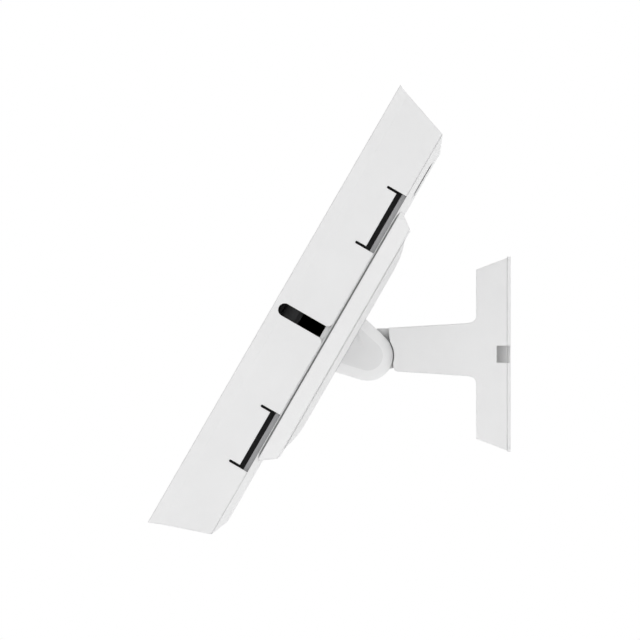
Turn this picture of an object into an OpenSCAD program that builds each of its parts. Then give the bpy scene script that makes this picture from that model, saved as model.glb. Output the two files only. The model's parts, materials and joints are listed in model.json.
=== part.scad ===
// Wall mount for a tablet: a cast arm on a wall plate, a clevis head that tilts
// and swivels, and a sheet-metal case that opens behind the tablet.
// The origin is the middle of the wall plate's back face. +Z is up, +Y goes into the wall
// and the tablet faces -Y. Pieces of the head and the case are drawn upright, in frames of
// their own on the tilt axis and on the swivel axis, and leaned back as one.

/* [Wall plate] */
// Width and height of the wall plate
plate_side = 88.5; // [80:0.1:100]
// Thickness of the steel plate
plate_t = 1.4; // [1:0.1:2.5]
// Radius of the plate's corners
plate_corner = 3; // [1:0.5:5]
// Distance between the wall screw holes, side to side
wall_hole_x = 54; // [48:1:56]
// Distance between the wall screw holes, up and down
wall_hole_z = 56; // [52:1:58]
// Diameter of the wall screw holes
wall_hole_d = 5.2; // [4:0.1:6]
// Width of the cable holes in the plate
cable_hole_w = 15; // [8:0.5:16]
// Height of the cable holes in the plate
cable_hole_h = 12; // [6:0.5:14]
// Height of the cable holes' middle over the axis
cable_hole_z = 29; // [26:0.5:31]

/* [Arm] */
// Reach from the wall to the tilt axis
arm_reach = 64.7; // [60:0.1:80]
// How far the tilt axis lies under the plate's middle
axis_low = 0.7; // [0:0.1:2]
// Depth of the cast base, wall to front face
base_depth = 15.5; // [12:0.1:20]
// Height of the base's front face
base_front_h = 76.7; // [70:0.1:80]
// Width of the arm at its shoulder
shoulder_w = 36; // [34:1:44]
// Distance of the shoulder's top edge behind the tilt axis
shoulder_top_back = 9.2; // [8:0.1:12]
// Distance of the shoulder's bottom edge behind the tilt axis
shoulder_low_back = 11.8; // [10:0.1:13]
// Running gap between the ears and the arm's shoulder
shoulder_gap = 0.4; // [0.3:0.05:1]
// Height of the arm's top line over the axis at the shoulder
arm_top_front = 12.1; // [10:0.1:13]
// Height of the arm's top line over the axis at the base
arm_top_back = 14.3; // [12:0.1:16]
// Depth of the arm's bottom line under the axis at the shoulder
arm_low_front = 7.8; // [6:0.1:9]
// Depth of the arm's bottom line under the axis at the base
arm_low_back = 10.2; // [8:0.1:12]
// Radius of the fillets between arm and base
arm_fillet = 3.2; // [1:0.1:5]
// Wall of the casting
cast_wall = 3; // [2:0.1:4]
// Solid length of the arm behind its shoulder
shoulder_solid = 8; // [5:0.5:14]
// Half width of the rib box round the arm's root
rib_box_half = 27; // [24:0.5:28]
// Height of the cable notches
notch_h = 7.6; // [5:0.1:9]
// Depth of the cable notches from the wall
notch_d = 6.1; // [4:0.1:8]
// Distance between the housing screws, side to side
boss_x = 28; // [26:1:30]
// Distance between the housing screws, up and down
boss_z = 60; // [56:1:62]
// Diameter of the housing screws
housing_screw_d = 4; // [3:0.5:4]
// Radius of the arm's lower front corner
shoulder_round = 1.6; // [0.5:0.1:3]

/* [Tilt joint] */
// Lean of the case back from upright
lean = 30; // [0:1:45]
// Width of the arm's tongue
tongue_w = 16; // [12:0.5:20]
// Radius of the tongue's round end
tongue_r = 8.6; // [8:0.1:8.9]
// How far the tongue's underside stands above the arm's
tongue_rise = 1.9; // [0.2:0.1:3]
// Diameter of the tilt bolt
bolt_d = 8; // [6:0.5:8]
// Thickness of the friction washers
washer_t = 0.9; // [0.5:0.1:1.5]
// Radius of the ears' round end
ear_r = 11.45; // [10.5:0.05:12]
// Flare of the ears' flanks
ear_flare = 13; // [5:1:20]
// Thickness of each ear
ear_t = 3.5; // [3:0.1:5]
// Thickness of each ear cover
cover_t = 5.5; // [5:0.1:7]
// Width of the bevel round the ear covers
cover_bevel_w = 4.5; // [2:0.1:5]
// Height of the bevel round the ear covers
cover_bevel_h = 2.6; // [1:0.1:3]

/* [Swivel] */
// How far the swivel axis lies under the tilt axis
swivel_low = 0.7; // [0:0.1:2]
// Radius of the swivel disc
disc_r = 55; // [50:0.5:58]
// Radius of the disc's flat top
disc_flat_r = 40.5; // [36:0.5:44]
// Height of the domed disc
disc_h = 2.6; // [2:0.05:4]
// Radius of the hub
hub_r = 15; // [12:0.5:18]
// Radius of the retaining washer
retainer_r = 21; // [19:0.5:23]
// Thickness of the retaining washer
retainer_t = 1.5; // [1:0.1:2]
// Radius at which the stop pin runs
stop_r = 28; // [26:0.5:30]
// Diameter of the stop pin
stop_d = 4; // [3:0.1:5]
// Half of the swivel's travel
swivel_half = 90; // [45:1:90]

/* [Rear bracket] */
// Distance from the tilt axis to the case's rear face
case_standoff = 17.85; // [17:0.05:22]
// Length of the bracket up the case
bracket_h = 130.4; // [110:0.1:150]
// Height of the bracket over the case's rear face
bracket_t = 6; // [5:0.05:7]
// How far the bracket's side flanges come down over the bevel
bracket_lap = 1.6; // [0.5:0.1:2]
// How far the flanges stand in from the case's side
bracket_inset = 0.5; // [0:0.1:1.5]
// Slope of the bracket's ends
bracket_end_slope = 36.5; // [10:0.5:40]
// Slope of the bracket's sides
bracket_side_slope = 16; // [0:1:30]
// Radius of the bracket's corners
bracket_corner = 6; // [2:0.5:10]
// Sheet of the bracket
bracket_wall = 2.5; // [2:0.1:2.8]

/* [Case] */
// Width of the case's border beside the tablet
border_side = 25.5; // [25:0.1:32]
// Width of the case's border over and under the tablet
border_end = 23.6; // [23.5:0.05:30]
// Depth from the front to the side walls' rear edge
case_depth = 27.4; // [26:0.1:34]
// Depth of the band behind the front edge
band_depth = 5.1; // [3:0.1:8]
// Slope of the band at the sides
band_side_slope = 35; // [20:1:45]
// Slope of the band at top and bottom
band_end_slope = 22; // [15:1:35]
// Slope of the walls
wall_slope = 18.7; // [10:0.1:22]
// Sheet of the front shell
shell_wall = 1.8; // [1.2:0.1:2.2]
// How far the window's edge laps over the tablet at the sides
window_lap_side = 11.5; // [8:0.1:14]
// How far the window's edge laps over the tablet at top and bottom
window_lap_end = 9; // [7:0.1:12]
// Radius of the window's corners
window_corner = 5; // [1:0.5:8]
// Width of the bevel round the rear panel
bevel_w = 6.7; // [4:0.1:8]
// Height of the bevel round the rear panel
bevel_h = 2.8; // [2:0.1:4]
// Sheet of the rear panel
panel_wall = 1.6; // [1.2:0.1:2]
// Depth of the rear panel's lip
lip_d = 2.1; // [2:0.1:4]
// Thickness of the lip
lip_t = 1.2; // [0.8:0.1:1.5]
// Distance between the case screws along each edge
case_screw_x = 168; // [120:1:180]
// Diameter of the threads of the case's small screws
small_screw_d = 3; // [2.5:0.5:3]
// How far the bracket's screws stand in from its ends
bracket_screw_in = 16.4; // [12:0.1:20]

/* [Side cut-outs] */
// Width of the cable slot
slot_w = 5.85; // [5.85:0.05:10]
// Distance from the front face to the slot's round end
slot_tip = 2.6; // [2:0.1:8]
// Radius at the slot's mouth
slot_mouth_r = 2.5; // [0.5:0.1:4]
// Distance between the middles of the spring tabs
tab_pitch = 113.6; // [80:0.1:130]
// Length of each tab cut-out
tab_len = 29.7; // [20:0.1:40]
// Width of the slits beside the tabs
slit_w = 1.2; // [1:0.05:2]
// Depth of the slits from the rear edge
slit_d = 9.7; // [8:0.1:14]
// Distance from the rear edge to the tab's free edge
tab_set_back = 4.5; // [3:0.1:6]
// Length of the camera opening up the case
camera_h = 22; // [15:0.5:30]
// Width of the camera opening
camera_w = 34; // [20:0.5:40]
// How far the camera opening bites into the panel's bevel
camera_bite = 1; // [0:0.1:2]
// Height of the camera opening's middle over the tilt axis
camera_z = 82; // [80:0.5:84]

/* [Cradle] */
// Width of the tablet
tablet_w = 249; // [240:1:252]
// Height of the tablet
tablet_h = 180; // [170:1:181]
// Thickness of the tablet
tablet_t = 7.5; // [5:0.1:9]
// Play round the tablet
tablet_play = 0.5; // [0.3:0.1:1]
// Thickness of the foam behind the window's edge
foam_t = 2; // [1:0.1:3]
// How far the foam stands back from the window's edge
foam_back = 1.5; // [0.5:0.1:3]
// Thickness of the cradle's pads
pad_t = 0.5; // [0.3:0.1:1]
// Width of the cradle's pads
pad_w = 50; // [30:1:60]
// Height of the cradle's pads
pad_h = 24; // [15:1:30]
// Wall of the cradle's rim
rim_t = 2.5; // [2:0.1:3]
// Thickness of the cradle's floor
floor_t = 2; // [1.5:0.1:3]
// Radius of the cradle's corners
cradle_corner = 14; // [10:0.5:18]
// Width of the gap for the charging plug
plug_gap = 16; // [12:0.5:24]
// Distance between the cradle's legs, side to side
leg_x = 160; // [140:1:170]
// Distance between the cradle's legs, up and down
leg_z = 152; // [146:1:160]

/* [Hidden] */
$fn = 64;

fit = 0.05;             // play of a screw, pin or hub in its hole
seat = 0.1;             // play between faces that slide past each other
over = 1;               // how far a cut runs past a face
ears = [-1, 1];
corners = [for (x = ears) for (z = ears) [x, z]];

// Arm
shoulder_y = arm_reach - shoulder_low_back;
flare_run = arm_reach - shoulder_top_back;
flare_rise = (plate_side - shoulder_w) / 2;
flare_r = (flare_run * flare_run + flare_rise * flare_rise) / (2 * flare_rise);
flare_x = shoulder_w / 2 + flare_r;
base_draft = (plate_side - base_front_h) / 2 / base_depth;
boss_r = 5.5;
nut_flange_r = 3.5;
nut_flange_h = 2.6;
screw_head_r = 3.6;
screw_head_h = 2.6;

// Tilt joint
ear_in = tongue_w / 2 + washer_t + 2 * fit;
ear_out = ear_in + ear_t;
cover_out = ear_out + cover_t;
cover_hollow = cover_t - 1.8;
bolt_head_r = 6.5;
bolt_head_h = 3.2;
spring_t = 0.8;
nut_h = 2.6;
peg_r = 1.2;
peg_at = [-5.5, 9.5];

// Depths along the case's own y axis, all in front of the tilt axis
rear_y = -case_standoff;
edge_y = rear_y - bevel_h;
front_y = edge_y - case_depth;
band_y = front_y + band_depth;
inside_y = front_y + shell_wall;
panel_in_y = rear_y - panel_wall;
bracket_y = rear_y + bracket_t;
skin_y = bracket_y - bracket_wall;
lap_y = rear_y - bracket_lap;
disc_y = bracket_y + fit;
disc_top_y = disc_y + disc_h;
retainer_y = skin_y - seat;
foam_back_y = inside_y + foam_t;
floor_y = foam_back_y + tablet_t + pad_t;
floor_back_y = floor_y + floor_t;
glide_t = 0.6;
glide_r = [34, 40];

// Half sizes of the case's outside at the front, behind the band and at the rear edge
window_w = tablet_w - 2 * window_lap_side;
window_h = tablet_h - 2 * window_lap_end;
half_w = tablet_w / 2 + border_side;
half_h = tablet_h / 2 + border_end;
half_w_band = half_w - band_depth * tan(band_side_slope);
half_h_band = half_h - band_depth * tan(band_end_slope);
wall_run = edge_y - band_y;
half_w_edge = half_w_band - wall_run * tan(wall_slope);
half_h_edge = half_h_band - wall_run * tan(wall_slope);
skew_wall = shell_wall / cos(wall_slope);
lip_out_w = half_w_edge - skew_wall - 0.25;
lip_out_h = half_h_edge - skew_wall - 0.25;
small_head_r = 2.7;
small_head_h = 1.5;
insert_r = 2;
insert_h = 6;
case_boss_r = 3.4;
case_boss_at = [case_screw_x / 2, half_h_edge - bevel_w - small_head_r - 0.2];
cradle_half_w = tablet_w / 2 + tablet_play + rim_t;
cradle_half_h = tablet_h / 2 + tablet_play + rim_t;
skirt_y = panel_in_y - 1;
camera_x = half_w_edge - bevel_w + camera_bite - camera_w / 2;
bracket_screw_at = [for (x = [0.42, 0.8]) for (s = ears) for (e = ears)
  [s * x * half_w_edge, e * (bracket_h / 2 - bracket_screw_in)]];
hub_clear = retainer_r + 13;
camera_corner = 5;
shroud_inset = 2.4;

// Outlines drawn in y and z, carried along x
module across(width) {
  translate([-width / 2, 0, 0]) rotate([90, 0, 90]) linear_extrude(height = width) children();
}

// Outlines drawn in x and z, carried from y = from to y = to
module deep(from, to) {
  translate([0, to, 0]) rotate([90, 0, 0]) linear_extrude(height = to - from) children();
}

// Round bar along y, from y = from to y = to
module bar_y(r, from, to) {
  translate([0, to, 0]) rotate([90, 0, 0]) cylinder(r = r, h = to - from);
}

// Round bar along x, from x = from to x = to
module bar_x(r, from, to) {
  translate([from, 0, 0]) rotate([0, 90, 0]) cylinder(r = r, h = to - from);
}

module rounded(w, h, r) {
  square([w, h - 2 * r], center = true);
  square([w - 2 * r, h], center = true);
  for (c = corners) translate([c[0] * (w / 2 - r), c[1] * (h / 2 - r)]) circle(r = r);
}

// Place of the tilt axis
module at_tilt() {
  translate([0, -arm_reach, -axis_low]) children();
}

// The head's frame: the tilt axis, leaned back
module leaned() {
  at_tilt() rotate([-lean, 0, 0]) children();
}

// The case's frame: the swivel axis, leaned back
module on_case() {
  leaned() translate([0, 0, -swivel_low]) children();
}

// Countersunk screw along y, its head's face at y = 0 and its shank running to -y
module flat_screw(r, length, head_r, head_h) {
  difference() {
    union() {
      rotate([90, 0, 0]) cylinder(r1 = head_r, r2 = r, h = head_h);
      bar_y(r, -length, -head_h);
    }
    deep(-head_h * 0.7, over) circle(r = r * 0.75, $fn = 6);
  }
}

// The hole that such a screw sits in
module flat_hole(r, length, head_r, head_h) {
  rotate([90, 0, 0]) cylinder(r1 = head_r + fit, r2 = r + fit, h = head_h);
  bar_y(r + fit, -length, -head_h / 2);
}

// Wall side

function base_half_z(y) = plate_side / 2 + y * base_draft;
function arm_share(y) = (-y - base_depth) / (shoulder_y - base_depth);
function arm_top(y) = arm_top_back + (arm_top_front - arm_top_back) * arm_share(y);
function arm_low(y) = -arm_low_back - (arm_low_front - arm_low_back) * arm_share(y);

// Half of a fillet's square, hollowed, in the corner between arm and base
module corner_fill() {
  difference() {
    square(arm_fillet + over);
    translate([arm_fillet + over, arm_fillet + over]) circle(r = arm_fillet);
    translate([over, arm_fillet + over]) square(arm_fillet + over);
    translate([arm_fillet + over, over]) square(arm_fillet + over);
  }
}

// T-shaped side outline of arm and base
module side_outline(inset) {
  polygon([
    [over, base_half_z(over) - inset], [-base_depth + inset, base_half_z(-base_depth) - inset],
    [-base_depth + inset, -base_half_z(-base_depth) + inset], [over, -base_half_z(over) + inset]
  ]);
}

// Arm's side outline from its front edge, given at the top and at the bottom
module arm_outline(inset, front, back) {
  polygon([
    [back, arm_top(back) - inset], [front[0], arm_top(front[0]) - inset],
    [front[1], arm_low(front[1]) + inset], [back, arm_low(back) + inset]
  ]);
}

// What rounding takes off a corner that points down and to the front
module corner_off(r) {
  difference() {
    translate([-over, -over]) square(r + over);
    translate([r, r]) circle(r = r);
  }
}

// Plan of arm and base: sides that sweep out to the plate in one arc
module plan_outline(inset) {
  difference() {
    translate([-plate_side / 2, -flare_run]) square([plate_side, flare_run - plate_t]);
    for (s = ears) translate([s * flare_x, -flare_run]) circle(r = flare_r + inset, $fn = 128);
  }
}

module swept(inset) {
  translate([0, 0, -plate_side / 2]) linear_extrude(height = plate_side) plan_outline(inset);
}

module housing_outside() {
  difference() {
    full_housing();
    at_tilt() bar_x(ear_r + shoulder_gap, -shoulder_w, shoulder_w);
  }
}

module full_housing() {
  intersection() {
    across(plate_side) {
      side_outline(0);
      difference() {
        arm_outline(0, [-flare_run, -shoulder_y], -base_depth + over);
        translate([-shoulder_y, arm_low(-shoulder_y)]) corner_off(shoulder_round);
      }
      translate([-base_depth + over, arm_top(-base_depth) - over]) mirror([1, 0]) corner_fill();
      translate([-base_depth + over, arm_low(-base_depth) + over]) mirror([1, 0])
        mirror([0, 1]) corner_fill();
    }
    swept(0);
  }
}

module base_hollow() {
  intersection() {
    across(plate_side) side_outline(cast_wall);
    swept(cast_wall);
  }
}

// Box of ribs that carries the arm's load back to the plate
module rib_box() {
  intersection() {
    across(2 * rib_box_half)
      arm_outline(-cast_wall, [-base_depth, -base_depth], -plate_t);
    housing_outside();
  }
}

module arm_hollow() {
  intersection() {
    across(2 * (rib_box_half - cast_wall))
      arm_outline(cast_wall, [1, 1] * (shoulder_solid - shoulder_y), over);
    swept(cast_wall);
  }
}

module tongue() {
  across(tongue_w) {
    translate([-arm_reach, -axis_low]) circle(r = tongue_r);
    polygon([
      [-shoulder_y - ear_r * 0.65, arm_top_front - 0.4], [-shoulder_y + over, arm_top_front - 0.4],
      [-shoulder_y + over, -arm_low_front + tongue_rise],
      [-arm_reach + tongue_r * 0.218, -axis_low - tongue_r * 0.976],
      [-arm_reach, -axis_low], [-arm_reach - tongue_r * 0.218, -axis_low + tongue_r * 0.976]
    ]);
  }
}

module at_bosses() {
  for (c = corners) translate([c[0] * boss_x / 2, 0, c[1] * boss_z / 2]) children();
}

module cable_notches() {
  run = plate_side / 2 - rib_box_half + over;
  for (s = ears) translate([s * (rib_box_half + run / 2), -notch_d / 2 + over / 2, 0])
    cube([run, notch_d + over, notch_h], center = true);
}

module arm_housing() {
  color("white") difference() {
    union() {
      difference() {
        housing_outside();
        base_hollow();
      }
      rib_box();
      intersection() {
        at_bosses() bar_y(boss_r, -base_depth, -plate_t);
        housing_outside();
      }
      tongue();
    }
    arm_hollow();
    cable_notches();
    at_bosses() {
      bar_y(screw_head_r + 0.4, -base_depth - over, -base_depth + screw_head_h + 0.4);
      bar_y(housing_screw_d / 2 + 0.2, -base_depth, 0);
      bar_y(nut_flange_r + 0.2, -plate_t - nut_flange_h - 0.2, 0);
    }
    at_tilt() bar_x(bolt_d / 2 + fit, -tongue_w, tongue_w);
  }
}

module wall_plate() {
  color("gainsboro") difference() {
    deep(-plate_t, 0) rounded(plate_side, plate_side, plate_corner);
    cable_notches();
    at_bosses() bar_y(nut_flange_r - 0.7 + fit, -plate_t - over, over);
    for (c = corners) translate([c[0] * wall_hole_x / 2, 0, c[1] * wall_hole_z / 2])
      bar_y(wall_hole_d / 2, -plate_t - over, over);
    for (s = ears) translate([0, 0, s * cable_hole_z])
      deep(-plate_t - over, over) rounded(cable_hole_w, cable_hole_h, 2);
  }
}

module plate_nuts() {
  color("silver") at_bosses() difference() {
    union() {
      bar_y(nut_flange_r, -plate_t - nut_flange_h, -plate_t);
      bar_y(nut_flange_r - 0.7, -plate_t, -0.1);
    }
    bar_y(housing_screw_d / 2 + fit, -plate_t - nut_flange_h - over, over);
  }
}

module housing_screws() {
  color("silver") at_bosses() translate([0, -base_depth + 0.2, 0]) difference() {
    union() {
      bar_y(screw_head_r, 0, screw_head_h);
      bar_y(housing_screw_d / 2, screw_head_h, base_depth - 0.6);
    }
    deep(-over, screw_head_h * 0.6) circle(r = housing_screw_d * 0.36, $fn = 6);
  }
}

// Tilt head

// Outline of an ear in y and z, shrunk by inset, down to y = foot
module ear_outline(inset, foot) {
  r = ear_r - inset;
  intersection() {
    circle(r = r);
    translate([foot, -ear_r]) square(3 * ear_r);
  }
  polygon([
    [r * sin(ear_flare), r * cos(ear_flare)],
    [foot, r / cos(ear_flare) - foot * tan(ear_flare)],
    [foot, -r / cos(ear_flare) + foot * tan(ear_flare)],
    [r * sin(ear_flare), -r * cos(ear_flare)]
  ]);
}

module at_pegs() {
  for (e = ears) translate([0, peg_at[0], e * (peg_at[1] - 0.5)]) children();
}

// Domed disc: a flat top, and a rim that falls in an arc
module disc_section() {
  drop = disc_r - disc_flat_r;
  rim_r = (drop * drop + disc_h * disc_h) / (2 * disc_h);
  square([disc_flat_r, disc_h]);
  intersection() {
    translate([disc_flat_r, 0]) square([drop, disc_h]);
    translate([disc_flat_r, disc_h - rim_r]) circle(r = rim_r, $fn = 256);
  }
}

// The disc's section stands on the bracket and faces +y
module on_swivel_axis() {
  rotate([-90, 0, 0]) children();
}

module at_retainer_screws() {
  for (a = [45:90:315]) rotate([0, a, 0]) translate([hub_r - 5, 0, 0]) children();
}

module swivel_head() {
  color("white") difference() {
    union() {
      on_case() {
        translate([0, disc_y, 0]) on_swivel_axis() rotate_extrude($fn = 96) disc_section();
        bar_y(hub_r, retainer_y, disc_y + over);
        translate([0, 0, stop_r]) bar_y(stop_d / 2, skin_y + seat, disc_y + over);
      }
      leaned() for (s = ears) translate([s * (ear_in + ear_out) / 2, 0, 0])
        across(ear_t) ear_outline(0, disc_y + disc_h / 2);
    }
    leaned() {
      bar_x(bolt_d / 2 + fit, -ear_out - over, ear_out + over);
      at_pegs() bar_x(peg_r + fit, -ear_out - over, ear_out + over);
    }
    on_case() at_retainer_screws()
      bar_y(small_screw_d / 2 + fit, retainer_y - over, disc_y + disc_h - 1);
  }
}

module tilt_bolt() {
  color("dimgray") leaned() difference() {
    union() {
      bar_x(bolt_head_r, ear_out, ear_out + bolt_head_h);
      bar_x(bolt_d / 2, -ear_out - spring_t - nut_h, ear_out);
    }
    translate([ear_out + 1, 0, 0]) rotate([0, 90, 0]) cylinder(r = bolt_d * 0.36, h = 4, $fn = 6);
  }
}

module tilt_nut() {
  color("silver") leaned() translate([-ear_out - spring_t - nut_h, 0, 0]) difference() {
    rotate([0, 90, 0]) cylinder(r = 7.2, h = nut_h, $fn = 6);
    bar_x(bolt_d / 2 + fit, -over, nut_h + over);
  }
}

module spring_washer() {
  color("silver") leaned() difference() {
    bar_x(7, -ear_out - spring_t, -ear_out);
    bar_x(bolt_d / 2 + fit, -ear_out - 2 * over, -ear_out + over);
  }
}

module friction_washers() {
  color("dimgray") leaned() for (s = ears)
    translate([s * (tongue_w / 2 + fit + washer_t / 2), 0, 0]) difference() {
      bar_x(tongue_r - 0.4, -washer_t / 2, washer_t / 2);
      bar_x(bolt_d / 2 + fit, -washer_t, washer_t);
    }
}

// Cover that clips on the right ear and hides the bolt: a bevelled slab, hollow behind
module ear_cover() {
  foot = disc_top_y + fit;
  difference() {
    hull() {
      translate([ear_out, 0, 0]) across_from_zero(cover_t - cover_bevel_h) ear_outline(0, foot);
      translate([cover_out - 0.2, 0, 0]) across_from_zero(0.2)
        ear_outline(cover_bevel_w, foot);
    }
    bar_x(bolt_head_r + 1.2, ear_out - over, ear_out + cover_hollow);
  }
  at_pegs() bar_x(peg_r, ear_out - ear_t + 0.5, ear_out + over);
}

// Outline in y and z, carried from x = 0
module across_from_zero(width) {
  translate([width / 2, 0, 0]) across(width) children();
}

module right_ear_cover() {
  color("white") leaned() ear_cover();
}

module left_ear_cover() {
  color("white") leaned() mirror([1, 0, 0]) ear_cover();
}

module swivel_retainer() {
  color("silver") on_case() difference() {
    bar_y(retainer_r, retainer_y - retainer_t, retainer_y);
    at_retainer_screws() translate([0, retainer_y - retainer_t, 0]) mirror([0, 1, 0])
      flat_hole(small_screw_d / 2, retainer_t + over, small_head_r, retainer_t);
  }
}

module retainer_screws() {
  color("dimgray") on_case() at_retainer_screws()
    translate([0, retainer_y - retainer_t, 0]) mirror([0, 1, 0])
      flat_screw(small_screw_d / 2, disc_y + disc_h - 1.6 - retainer_y + retainer_t,
        small_head_r, retainer_t);
}

// Bracket on the case's back

// Frustum with mitred corners: half sizes at two depths
module frustum(y0, w0, h0, y1, w1, h1) {
  intersection() {
    across(2 * max(w0, w1)) polygon([[y0, h0], [y1, h1], [y1, -h1], [y0, -h0]]);
    translate([0, 0, -max(h0, h1)]) linear_extrude(height = 2 * max(h0, h1))
      polygon([[w0, y0], [w1, y1], [-w1, y1], [-w0, y0]]);
  }
}

module bracket_outside() {
  w = half_w_edge - bracket_inset;
  h = bracket_h / 2;
  run = bracket_y - lap_y;
  intersection() {
    frustum(lap_y, w, h, bracket_y,
      w - run * tan(bracket_side_slope), h - run * tan(bracket_end_slope));
    deep(lap_y, bracket_y) rounded(2 * w, 2 * h, bracket_corner);
  }
}

// Ring-shaped slot that the stop pin runs in, over half a turn
module stop_slot() {
  width = stop_d + 2 * seat + 0.2;
  translate([0, skin_y - over, 0]) on_swivel_axis() {
    intersection() {
      difference() {
        cylinder(r = stop_r + width / 2, h = bracket_wall + 2 * over);
        translate([0, 0, -over]) cylinder(r = stop_r - width / 2, h = bracket_wall + 4 * over);
      }
      linear_extrude(height = bracket_wall + 2 * over) stop_sector(2 * disc_r);
    }
    for (s = ears) rotate([0, 0, s * swivel_half]) translate([0, -stop_r, 0])
      cylinder(r = width / 2, h = bracket_wall + 2 * over);
  }
}

// Sector of the slot's travel, drawn with -y of the outline towards the case's top
module stop_sector(reach) {
  polygon([[0, 0], for (a = [-swivel_half:swivel_half / 2:swivel_half])
    [reach * sin(a), -reach * cos(a)]]);
}

module at_bracket_screws() {
  for (p = bracket_screw_at) translate([p[0], 0, p[1]]) children();
}

module bracket_pocket() {
  h = bracket_h / 2 - bracket_t * tan(bracket_end_slope) - bracket_wall;
  w = half_w_edge - bevel_w - 3;
  difference() {
    deep(lap_y - over, skin_y) rounded(2 * w, 2 * h, bracket_corner);
    at_bracket_screws() bar_y(5, rear_y, skin_y + over);
    for (x = ears) translate([x * w * 0.62 - bracket_wall / 2, rear_y, -h])
      cube([bracket_wall, bracket_t, 2 * h]);
    for (z = ears) difference() {
      translate([-w, rear_y, z * 34 - bracket_wall / 2]) cube([2 * w, bracket_t, bracket_wall]);
      bar_y(hub_clear, rear_y - over, 0);
    }
  }
}

module rear_bracket() {
  color("white") on_case() difference() {
    bracket_outside();
    panel_outside(0);
    bracket_pocket();
    bar_y(hub_r + fit, lap_y, bracket_y + over);
    stop_slot();
    difference() {
      bar_y(glide_r[1] + fit, bracket_y - glide_t, bracket_y + over);
      bar_y(glide_r[0] - fit, bracket_y - 2 * glide_t, bracket_y + 2 * over);
    }
    at_bracket_screws() translate([0, bracket_y, 0])
      flat_hole(small_screw_d / 2, bracket_t + 4 * over, small_head_r, small_head_h);
  }
}

module glide_ring() {
  color("dimgray") on_case() difference() {
    bar_y(glide_r[1], bracket_y - glide_t, bracket_y);
    bar_y(glide_r[0], bracket_y - glide_t - over, bracket_y + over);
  }
}

module bracket_screws() {
  color("silver") on_case() at_bracket_screws() translate([0, bracket_y, 0])
    flat_screw(small_screw_d / 2, bracket_t + panel_wall + 2.6, small_head_r, small_head_h);
}

module bracket_nuts() {
  color("silver") on_case() at_bracket_screws() difference() {
    bar_y(3.2, panel_in_y - 2.4, panel_in_y);
    bar_y(small_screw_d / 2 + fit, panel_in_y - 2.4 - over, panel_in_y + over);
  }
}

// Rear panel

// Bevelled outside of the rear panel, grown by gap
module panel_outside(gap) {
  frustum(edge_y, half_w_edge + gap, half_h_edge + gap,
    rear_y, half_w_edge - bevel_w + gap, half_h_edge - bevel_w + gap);
}

// Opening for the tablet's camera, through the panel and its bevel
module camera_hole(inset, from, to) {
  translate([camera_x, 0, camera_z]) deep(from, to)
    rounded(camera_w - 2 * inset, camera_h - 2 * inset, camera_corner - inset);
}

module at_case_bosses() {
  for (c = corners) translate([c[0] * case_boss_at[0], 0, c[1] * case_boss_at[1]]) children();
}

module at_legs() {
  for (c = corners) translate([c[0] * leg_x / 2, 0, c[1] * leg_z / 2]) children();
}

module rear_panel() {
  shrink = panel_wall * 1.1;
  color("white") on_case() difference() {
    union() {
      difference() {
        panel_outside(0);
        frustum(edge_y - over, lip_out_w - lip_t + over, lip_out_h - lip_t + over,
          panel_in_y, half_w_edge - bevel_w - shrink, half_h_edge - bevel_w - shrink);
      }
      difference() {
        frustum(edge_y - lip_d, lip_out_w, lip_out_h, edge_y + over / 2, lip_out_w, lip_out_h);
        frustum(edge_y - lip_d - over, lip_out_w - lip_t, lip_out_h - lip_t,
          rear_y, lip_out_w - lip_t, lip_out_h - lip_t);
      }
    }
    camera_hole(0, panel_in_y - 2 * over, rear_y + over);
    at_bracket_screws() bar_y(small_screw_d / 2 + fit, panel_in_y - over, rear_y + over);
    at_case_bosses() translate([0, rear_y, 0])
      flat_hole(small_screw_d / 2, panel_wall + over, small_head_r, small_head_h);
    at_legs() translate([0, rear_y, 0])
      flat_hole(small_screw_d / 2, panel_wall + over, small_head_r, small_head_h);
    at_case_bosses() bar_y(case_boss_r + 0.3, edge_y - over, panel_in_y);
  }
}

module case_screws() {
  color("silver") on_case() at_case_bosses() translate([0, rear_y, 0])
    flat_screw(small_screw_d / 2, panel_wall + insert_h, small_head_r, small_head_h);
}

// Cradle that holds the tablet against the window

module cradle_plan(inset) {
  rounded(2 * (cradle_half_w - inset), 2 * (cradle_half_h - inset), cradle_corner - inset);
}

module cradle() {
  color([0.09, 0.09, 0.1]) on_case() difference() {
    union() {
      difference() {
        deep(foam_back_y, skirt_y) cradle_plan(0);
        deep(foam_back_y - over, floor_y) cradle_plan(rim_t);
        deep(floor_back_y, skirt_y + over) cradle_plan(rim_t);
        translate([cradle_half_w - rim_t / 2, (foam_back_y + skirt_y) / 2, 0])
          cube([2 * rim_t, skirt_y - foam_back_y + 2 * over, plug_gap], center = true);
      }
      at_legs() bar_y(5.5, floor_y + over, panel_in_y);
      camera_hole(0.4, floor_y, rear_y - 0.3);
    }
    camera_hole(shroud_inset, floor_back_y, rear_y + over);
    intersection() {
      camera_hole(shroud_inset, floor_y - over, rear_y + over);
      deep(floor_y - over, rear_y) cradle_plan(rim_t + 2);
    }
    at_case_bosses() bar_y(case_boss_r + 0.3, foam_back_y - over, panel_in_y);
    at_legs() bar_y(insert_r + fit, panel_in_y - insert_h - 0.5, panel_in_y + over);
  }
}

module insert() {
  difference() {
    bar_y(insert_r, -insert_h, 0);
    bar_y(small_screw_d / 2 + fit, -insert_h - over, over);
  }
}

module cradle_inserts() {
  color("goldenrod") on_case() at_legs() translate([0, panel_in_y, 0]) insert();
}

module case_inserts() {
  color("goldenrod") on_case() at_case_bosses() translate([0, panel_in_y, 0]) insert();
}

module cradle_screws() {
  color("silver") on_case() at_legs() translate([0, rear_y, 0])
    flat_screw(small_screw_d / 2, panel_wall + insert_h, small_head_r, small_head_h);
}

module cradle_pads() {
  color("dimgray") on_case() for (x = ears) for (z = ears)
    translate([x * tablet_w * 0.32, 0, z * tablet_h * 0.22]) deep(floor_y - pad_t, floor_y)
      rounded(pad_w, pad_h, 3);
}

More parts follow.
